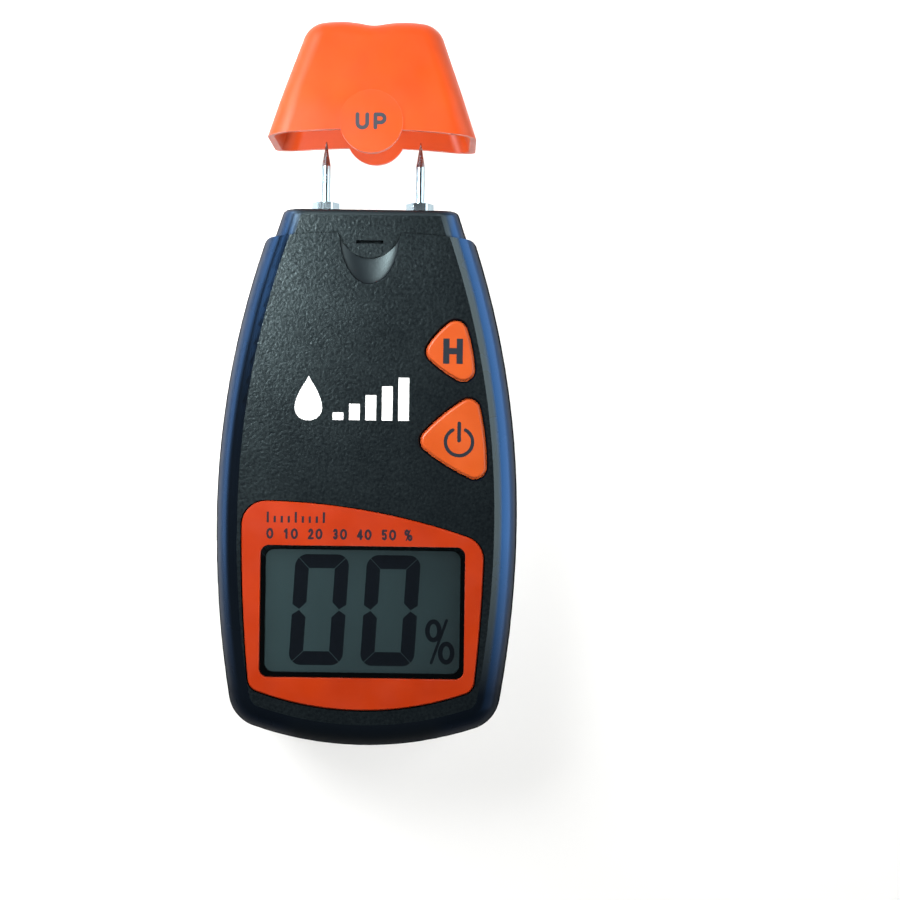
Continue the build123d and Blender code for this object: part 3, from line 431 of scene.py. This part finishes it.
def dress_nodes():
    """Gives every CAD node its material."""
    shell = shell_plastic()
    cap = orange_plastic(
        "cap_orange", (0.45, 0.045, 0.0025), (0.51, 0.057, 0.004),
        roughness=0.42, grain=0.30, translucency=0.05,
    )
    keys = orange_plastic(
        "key_orange", (0.38, 0.054, 0.006), (0.44, 0.070, 0.010), roughness=0.38, grain=0.25,
    )
    surround = orange_plastic(
        "surround_orange", (0.285, 0.0190, 0.0009), (0.33, 0.0245, 0.0015),
        roughness=0.38, grain=0.5,
    )
    steel = metal("pin_steel", (0.40, 0.51, 0.57), 0.22, (0.27, 0.37, 0.43))
    zinc = metal(
        "screw_zinc", (0.60, 0.60, 0.58), 0.32, (0.34, 0.33, 0.30), size=0.6, stretch=None,
    )
    spring = metal("contact_nickel", (0.68, 0.66, 0.62), 0.26, (0.45, 0.42, 0.36))
    brass = metal("socket_brass", (0.78, 0.56, 0.24), 0.28, (0.50, 0.33, 0.13))
    can = metal("component_can", (0.72, 0.72, 0.73), 0.30, (0.5, 0.5, 0.5), size=1.2)
    black = moulded("component_black", (0.010, 0.010, 0.011), (0.022, 0.022, 0.024), 0.45)
    carrier = moulded("carrier_black", (0.008, 0.008, 0.009), (0.016, 0.016, 0.018), 0.55)
    rubber = moulded(
        "zebra_rubber", (0.012, 0.012, 0.013), (0.10, 0.10, 0.105), 0.75, grain=0.2, size=0.25,
    )
    ceramic = moulded("chip_ceramic", (0.30, 0.20, 0.11), (0.48, 0.35, 0.22), 0.5)
    blue = moulded("trimmer_blue", (0.010, 0.05, 0.26), (0.02, 0.08, 0.36), 0.4)
    ivory = moulded("block_ivory", (0.62, 0.58, 0.47), (0.74, 0.70, 0.60), 0.5)
    red = moulded("lead_red", (0.42, 0.012, 0.010), (0.55, 0.025, 0.018), 0.38)
    dark_lead = moulded("lead_black", (0.010, 0.010, 0.010), (0.024, 0.024, 0.024), 0.38)
    film, glass, board, cell = lcd_film(), lcd_glass(), board_mask(), cell_wrap()
    finishes = {
        "front_shell": shell, "rear_shell": shell, "battery_door": shell,
        "display_surround": surround, "display_window": clear_window(),
        "hold_key": keys, "power_key": keys, "pin_cap": cap,
        "lcd_front_polarizer": film, "lcd_rear_polarizer": film,
        "lcd_front_glass": glass, "lcd_rear_glass": glass,
        "lcd_frame": carrier, "zebra_strips": rubber, "circuit_board": board,
        "chip_capacitors": ceramic, "chip_resistors": black,
        "smoothing_capacitor": can, "crystal": can, "calibration_trimmers": blue,
        "electrode_pin_left": steel, "electrode_pin_right": steel, "electrode_nuts": steel,
        "electrode_socket_left": brass, "electrode_socket_right": brass, "solder_tags": brass,
        "electrode_block": ivory, "electrode_lead_left": red, "electrode_lead_right": dark_lead,
        "battery_lead_red": red, "battery_lead_black": dark_lead,
        "battery_cell_left": cell, "battery_cell_right": cell,
        "battery_link": spring, "battery_terminals": spring, "battery_springs": spring,
        "case_screws": zinc, "board_screws": zinc,
    }
    for name, node in NODES.items():
        finish = finishes.get(name, black)
        for slot in node.material_slots:
            slot.material = finish


# ---- flat printed shapes ----------------------------------------------------------------------
def plate(name, outlines, z, material, body):
    """Thin plates let into the height z. Each outline is a list of (x, y) in millimetres."""
    mesh = bpy.data.meshes.new(name)
    build = bmesh.new()
    for i, outline in enumerate(outlines):
        corners = [build.verts.new((x * MM, y * MM, z - SUNK)) for x, y in outline]
        face = build.faces.new(corners)
        if signed_area(outline) < 0:
            face.normal_flip()
        made = bmesh.ops.extrude_face_region(build, geom=[face])
        lifted = [v for v in made["geom"] if isinstance(v, bmesh.types.BMVert)]
        rise = INK * (1 + LAYER_STEP * (i % LAYERS))
        bmesh.ops.translate(build, verts=lifted, vec=(0, 0, rise))
    bmesh.ops.recalc_face_normals(build, faces=build.faces)
    build.to_mesh(mesh)
    build.free()
    piece = bpy.data.objects.new(name, mesh)
    bpy.context.scene.collection.objects.link(piece)
    mesh.materials.append(material)
    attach(piece, body)


def signed_area(outline):
    """Positive for an outline that runs counter-clockwise."""
    following = outline[1:] + outline[:1]
    return sum(ax * by - bx * ay for (ax, ay), (bx, by) in zip(outline, following)) / 2


def arc(x, y, radius, start, end, steps=24):
    """Points along an arc. The angles are in degrees."""
    angles = [math.radians(start + (end - start) * i / steps) for i in range(steps + 1)]
    return [(x + radius * math.cos(a), y + radius * math.sin(a)) for a in angles]


END_STEPS = 8  # straight pieces in a stroke's round end


def stroke(points, width):
    """The outline of a line of that width along points, with round ends."""
    left, right = [], []
    for i, (x, y) in enumerate(points):
        before = points[max(i - 1, 0)]
        after = points[min(i + 1, len(points) - 1)]
        along = Vector((after[0] - before[0], after[1] - before[1])).normalized()
        side = Vector((-along.y, along.x)) * width / 2
        left.append((x + side.x, y + side.y))
        right.append((x - side.x, y - side.y))
    ends = []
    for (x, y), (bx, by) in ((points[-1], points[-2]), (points[0], points[1])):
        heading = math.degrees(math.atan2(y - by, x - bx))
        ends.append(arc(x, y, width / 2, heading - 90, heading + 90, END_STEPS)[1:-1])
    return right + ends[0] + left[::-1] + ends[1]


def moved(outlines, x, y, slant=0.0):
    """Outlines moved to (x, y), and leaning to the right by slant."""
    return [[(x + (px + slant * py), y + py) for px, py in outline] for outline in outlines]


# ---- the display's figures --------------------------------------------------------------------
DIGIT_WIDTH = 11.6
DIGIT_HEIGHT = 23.9
DIGIT_CORNER = 2.5
SEGMENT = 3.0
SEGMENT_GAP = 0.12
DIGIT_SLANT = math.tan(math.radians(3.15))
DIGITS_X = (-9.4, 6.0)  # of the digits' middles, from the film's middle
DIGITS_Y = 0.2
PERCENT_HEIGHT = 9.9
PERCENT_LINE = 1.0
PERCENT_AT = (16.6, -6.3)


def zero_segments():
    """The six lit segments of a seven-segment zero, centred on (0, 0)."""
    w, h, t, g = DIGIT_WIDTH / 2, DIGIT_HEIGHT / 2, SEGMENT, SEGMENT_GAP
    corner = arc(-w + DIGIT_CORNER, h - DIGIT_CORNER, DIGIT_CORNER, 180, 90, 12)
    half = len(corner) // 2
    mitre = g / math.sqrt(2)
    side = [(x, y - mitre) for x, y in corner[:half + 1]]
    side += [(-w + t, h - t - mitre), (-w + t, g + t / 2), (-w + t / 2, g), (-w, g + t / 3)]
    top = [(x + mitre, y) for x, y in corner[half:]]
    top += [(-x, y) for x, y in top[::-1]]
    top += [(w - t - mitre, h - t), (-w + t + mitre, h - t)]
    segments = []
    for flip in (1, -1):
        segments.append([(x, flip * y) for x, y in top])
        segments.append([(x, flip * y) for x, y in side])
        segments.append([(-x, flip * y) for x, y in side])
    return segments


def ring(x, y, wide, high, width):
    """An oval ring in two halves, centred on (x, y), for a line of that width."""
    halves = []
    half = width / 2
    for start, end in ((0, 180), (180, 360)):
        there = arc(0, 0, 1, start, end)
        back = arc(0, 0, 1, end, start)
        outer = [(x + (wide + half) * a, y + (high + half) * b) for a, b in there]
        inner = [(x + (wide - half) * a, y + (high - half) * b) for a, b in back]
        halves.append(outer + inner)
    return halves


def percent_sign(height, width):
    """A percent sign of that height, from a slash and two oval rings of that line width.

    Its proportions are shares of the height.
    """
    wide, tall = 0.13 * height, 0.20 * height
    slash = [(-0.17 * height, -0.47 * height), (0.155 * height, 0.46 * height)]
    marks = [stroke(slash, 0.6 * width)]
    marks += ring(-0.13 * height, 0.23 * height, wide, tall, width)
    marks += ring(0.155 * height, -0.25 * height, wide, tall, width)
    return marks


def display_figures():
    """The dark segments that the display shows, just above its front film."""
    colour = (0.0024, 0.0042, 0.0072)
    material = ink("lcd_segment", colour, roughness=0.6, speckle=0.15, gloss=0.05)
    x = (FILM_LOW.x + FILM_HIGH.x) / 2 / MM
    y = (FILM_LOW.y + FILM_HIGH.y) / 2 / MM
    outlines = []
    for offset in DIGITS_X:
        outlines += moved(zero_segments(), x + offset, y + DIGITS_Y, slant=DIGIT_SLANT)
    sign = percent_sign(PERCENT_HEIGHT, PERCENT_LINE)
    outlines += moved(sign, x + PERCENT_AT[0], y + PERCENT_AT[1])
    plate("lcd_figures", outlines, FILM_HIGH.z, material, METER)


# ---- printed marks ----------------------------------------------------------------------------
# Sizes and places in millimetres. SCALE_ and TICK names are on the display surround.
DROP_SIZE = (6.6, 9.6)
DROP_AT = (-12.6, 17.0)
DROP_PINCH = 1.4  # how sharply the drop narrows towards its point
DROP_FULLNESS = 1.25
BARS = 5
BARS_LEFT, BARS_LOW = -7.4, 12.4
BAR_WIDTH = 2.3
BAR_SPACING = 3.5
FIRST_BAR_TOP = 14.0
BAR_RISE = 1.9

SCALE_LEFT, SCALE_LOW = -21.2, -13.2
SCALE_HEIGHT = 2.3  # of its numerals
SCALE_LINE = 0.48
SCALE_ADVANCE = 1.75  # from one numeral to the next, and for a gap
SCALE_NUMBERS = ("0", "10", "20", "30", "40", "50")
SCALE_SIGN_GAP = 0.6
NUMERAL_MIDDLE = 0.32  # from a numeral's left edge to its middle, as a share of its height
NUMERAL_WIDTH = 0.58  # as a share of its height
TICKS = 9
TICKS_PER_LONG_ONE = 4
TICK_SPACING = 1.5
TICKS_RISE = 3.5  # of their foot above the numerals' foot
LONG_TICK, SHORT_TICK = 2.3, 1.4

TAB_RADIUS = 6.75  # of the cap's front tab
CAP_LINE = 0.85
CAP_LETTER_HALF = 1.4  # half the height of a letter on the cap
CAP_LETTER_OFFSET = 1.9  # of a letter's middle from the word's

H_HALF_WIDTH, H_HALF_HEIGHT, H_LINE = 2.1, 2.7, 1.35
POWER_RADIUS, POWER_LINE = 2.9, 0.75
POWER_OPENING = (118, 422)  # the ring's ends, in degrees
POWER_STEPS = 48
POWER_BAR = (0.3, 4.0)  # the bar's ends, above the ring's centre
POWER_BAR_LINE = 0.8
POWER_DROP = 0.5  # of the ring's centre below the key's middle

# The strokes of each numeral, which fills the square from -1 to 1.
NUMERALS = {
    "0": [arc(0, 0, 1, 90, 270), arc(0, 0, 1, 270, 450)],
    "1": [[(-0.55, 0.5), (0.1, 1.0)], [(0.1, 1.0), (0.1, -1.0)]],
    "2": [arc(0, 0.42, 0.58, 165, -40) + [(-0.75, -1.0)], [(-0.75, -1.0), (0.8, -1.0)]],
    "3": [arc(0, 0.47, 0.53, 150, -90), arc(0, -0.45, 0.55, 90, -150)],
    "4": [
        [(0.35, -1.0), (0.35, 1.0)],
        [(0.35, 1.0), (-0.8, -0.45)],
        [(-0.8, -0.45), (0.85, -0.45)],
    ],
    "5": [
        [(0.7, 1.0), (-0.55, 1.0)],
        [(-0.55, 1.0), (-0.65, 0.1)],
        arc(-0.05, -0.38, 0.64, 140, -140),
    ],
}


def droplet(width, height, steps=28):
    """A drop's outline, pointed at the top, centred on (0, 0)."""
    points = []
    for i in range(steps):
        turn = 2 * math.pi * i / steps
        pinch = math.sin(turn / 2) ** DROP_PINCH
        x = width / 2 * math.sin(turn) * pinch * DROP_FULLNESS
        points.append((x, height / 2 * math.cos(turn)))
    return points[::-1]


def bar(left, low, width, high):
    """An upright bar's outline, from its left and lower edges, its width and its top."""
    return [(left, low), (left + width, low), (left + width, high), (left, high)]


def face_icon():
    """A drop and a row of rising bars, printed in white on the face."""
    material = ink("white_ink", (0.82, 0.83, 0.83), roughness=0.45, speckle=0.12)
    outlines = moved([droplet(*DROP_SIZE)], *DROP_AT)
    for i in range(BARS):
        left = BARS_LEFT + BAR_SPACING * i
        outlines.append(bar(left, BARS_LOW, BAR_WIDTH, FIRST_BAR_TOP + BAR_RISE * i))
    plate("level_icon", outlines, FACE_Z, material, METER)


def numeral(digit, x, y, height, width):
    """A numeral from 0 to 5, with its lower left at (x, y)."""
    tall = (height - width) / 2
    wide = NUMERAL_WIDTH * tall
    middle = (x + NUMERAL_MIDDLE * height, y + height / 2)
    return [
        stroke([(middle[0] + wide * px, middle[1] + tall * py) for px, py in points], width)
        for points in NUMERALS[digit]
    ]


def surround_scale():
    """A row of ticks and the numbers of a scale, along the top of the display surround."""
    material = ink("scale_ink", (0.013, 0.009, 0.015), gloss=0.2)
    outlines = []
    foot = SCALE_LOW + TICKS_RISE
    for i in range(TICKS):
        tick = LONG_TICK if i % TICKS_PER_LONG_ONE == 0 else SHORT_TICK
        outlines.append(bar(SCALE_LEFT + TICK_SPACING * i, foot, SCALE_LINE, foot + tick))
    x = SCALE_LEFT
    for value in SCALE_NUMBERS:
        for digit in value:
            outlines += numeral(digit, x, SCALE_LOW, SCALE_HEIGHT, SCALE_LINE)
            x += SCALE_ADVANCE
        x += SCALE_ADVANCE
    sign = percent_sign(SCALE_HEIGHT, SCALE_LINE)
    outlines += moved(sign, x + SCALE_SIGN_GAP, SCALE_LOW + SCALE_HEIGHT / 2)
    plate("surround_scale", outlines, SURROUND_Z, material, METER)


def cap_mark():
    """The word that says which side of the cap is its front."""
    material = ink("cap_ink", (0.020, 0.026, 0.038), speckle=0.45)
    low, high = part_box("pin_cap")
    x = (low.x + high.x) / 2 / MM
    y = low.y / MM + TAB_RADIUS
    top = CAP_LETTER_HALF
    bowl = [(-1.0, top)] + arc(0.1, 0.55, 0.85, 90, -90) + [(-1.0, -0.3)]
    letter_u = [[(-1.05, top)] + arc(0, -0.4, 1.05, 180, 360) + [(1.05, top)]]
    letter_p = [[(-1.0, top), (-1.0, -top)], bowl]
    outlines = moved([stroke(line, CAP_LINE) for line in letter_u], x - CAP_LETTER_OFFSET, y)
    outlines += moved([stroke(line, CAP_LINE) for line in letter_p], x + CAP_LETTER_OFFSET, y)
    plate("cap_mark", outlines, high.z, material, "cap")


def key_marks():
    """The hold key's H and the power key's ring and bar."""
    material = ink("key_ink", (0.010, 0.015, 0.022), gloss=0.2)
    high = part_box("hold_key")[1]
    w, h, t = H_HALF_WIDTH, H_HALF_HEIGHT, H_LINE
    half = t / 2
    letter = [
        (-w, -h), (-w + t, -h), (-w + t, -half), (w - t, -half), (w - t, -h), (w, -h),
        (w, h), (w - t, h), (w - t, half), (-w + t, half), (-w + t, h), (-w, h),
    ]
    marks = moved([letter], *key_centre("hold_key"))
    plate("hold_mark", marks, high.z, material, "hold_button")
    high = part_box("power_key")[1]
    x, y = key_centre("power_key")
    marks = [
        stroke(arc(0, 0, POWER_RADIUS, *POWER_OPENING, POWER_STEPS), POWER_LINE),
        stroke([(0, end) for end in POWER_BAR], POWER_BAR_LINE),
    ]
    marks = moved(marks, x, y - POWER_DROP)
    plate("power_mark", marks, high.z, material, "power_button")


LEVEL = 0.9  # the least cosine of the tilt of a face that counts as level
TOP_TOLERANCE = 0.01 * MM


def key_centre(node):
    """Where a key's mark goes, in millimetres: the middle of its top face."""
    mesh = NODES[node].data
    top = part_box(node)[1].z - TOP_TOLERANCE
    faces = [f for f in mesh.polygons if f.normal.z > LEVEL and f.center.z > top]
    area = sum(f.area for f in faces)
    return [sum(f.center[i] * f.area for f in faces) / area / MM for i in range(2)]


# ---- light, floor and camera ------------------------------------------------------------------
FRAME_WIDTH = 3.06 * HOUSING_WIDTH  # what the camera takes in at the housing's middle height
CAMERA_DISTANCE = 5.85 * HOUSING_WIDTH
CAMERA_AIM = (17.8 * MM, 6.3 * MM, FACE_Z / 2)
CAMERA_TURN = math.radians(0.8)
SENSOR_WIDTH = 36.0
CLIP = (0.01, 20)  # the nearest and farthest that the camera sees, in metres

FLOOR_HALF = 6.0  # half the floor's width, in metres
FLOOR_DROP = 0.02 * MM  # of the floor below the meter's back
SKY_COLOUR = (1.0, 0.99, 0.97)
SKY_HEIGHTS = (0.0, 0.8)  # sines of the elevation, at the horizon and where it is dimmest
SKY_STRENGTHS = (0.80, 0.03)  # at those two heights


def camera():
    """The camera looks straight down, with the meter left of the middle."""
    data = bpy.data.cameras.new("camera")
    data.sensor_width = SENSOR_WIDTH
    data.lens = SENSOR_WIDTH * CAMERA_DISTANCE / FRAME_WIDTH
    data.clip_start, data.clip_end = CLIP
    made = bpy.data.objects.new("camera", data)
    x, y, z = CAMERA_AIM
    made.location = (x, y, z + CAMERA_DISTANCE)
    made.rotation_euler = (0, 0, CAMERA_TURN)
    bpy.context.scene.collection.objects.link(made)
    bpy.context.scene.camera = made


def softbox(name, place, aim, size, power, shadow=True):
    """A rectangular area light that points from place at aim, in metres and watts."""
    data = bpy.data.lights.new(name, "AREA")
    data.shape = "RECTANGLE"
    data.size, data.size_y = size
    data.energy = power
    data.use_shadow = shadow
    made = bpy.data.objects.new(name, data)
    made.location = place
    made.rotation_euler = (Vector(aim) - Vector(place)).to_track_quat("-Z", "Y").to_euler()
    bpy.context.scene.collection.objects.link(made)


def paper_floor():
    """A white floor just below the meter."""
    mesh = bpy.data.meshes.new("floor")
    half = FLOOR_HALF
    corners = [(-half, -half, 0), (half, -half, 0), (half, half, 0), (-half, half, 0)]
    mesh.from_pydata(corners, [], [(0, 1, 2, 3)])
    floor = bpy.data.objects.new("floor", mesh)
    floor.location.z = -FLOOR_DROP
    bpy.context.scene.collection.objects.link(floor)
    mesh.materials.append(floor_paper())


def lights():
    """A large softbox and a small shadowless light at the upper left, and two side panels."""
    softbox(
        "key_light", place=(-0.46, 0.50, 0.48), aim=(0, 0.02, 0), size=(0.46, 0.46), power=5.2,
    )
    softbox(
        "near_light", place=(-0.090, 0.078, 0.150), aim=(0, 0.03, 0), size=(0.05, 0.05),
        power=0.50, shadow=False,
    )
    softbox(
        "right_panel", place=(0.55, 0.0, 0.30), aim=(0, 0, 0.02), size=(0.90, 0.58), power=4.6,
    )
    softbox(
        "left_panel", place=(-0.60, 0.22, 0.16), aim=(0, 0, 0.02), size=(0.70, 0.26), power=0.75,
    )


def sky():
    """A sky that is dim overhead and brighter towards the horizon."""
    world = bpy.data.worlds.new("sky")
    world.use_nodes = True
    tree = world.node_tree
    coordinates = tree.nodes.new("ShaderNodeTexCoord")
    split = tree.nodes.new("ShaderNodeSeparateXYZ")
    tree.links.new(coordinates.outputs["Generated"], split.inputs[0])
    fade = tree.nodes.new("ShaderNodeMapRange")
    ends = zip(("From Min", "From Max", "To Min", "To Max"), (*SKY_HEIGHTS, *SKY_STRENGTHS))
    for name, value in ends:
        fade.inputs[name].default_value = value
    tree.links.new(split.outputs["Z"], fade.inputs["Value"])
    background = tree.nodes["Background"]
    background.inputs["Color"].default_value = (*SKY_COLOUR, 1)
    tree.links.new(fade.outputs["Result"], background.inputs["Strength"])
    bpy.context.scene.world = world
    bpy.context.scene.view_settings.view_transform = "Standard"


camera()
dress_nodes()
display_figures()
face_icon()
surround_scale()
cap_mark()
key_marks()
paper_floor()
lights()
sky()
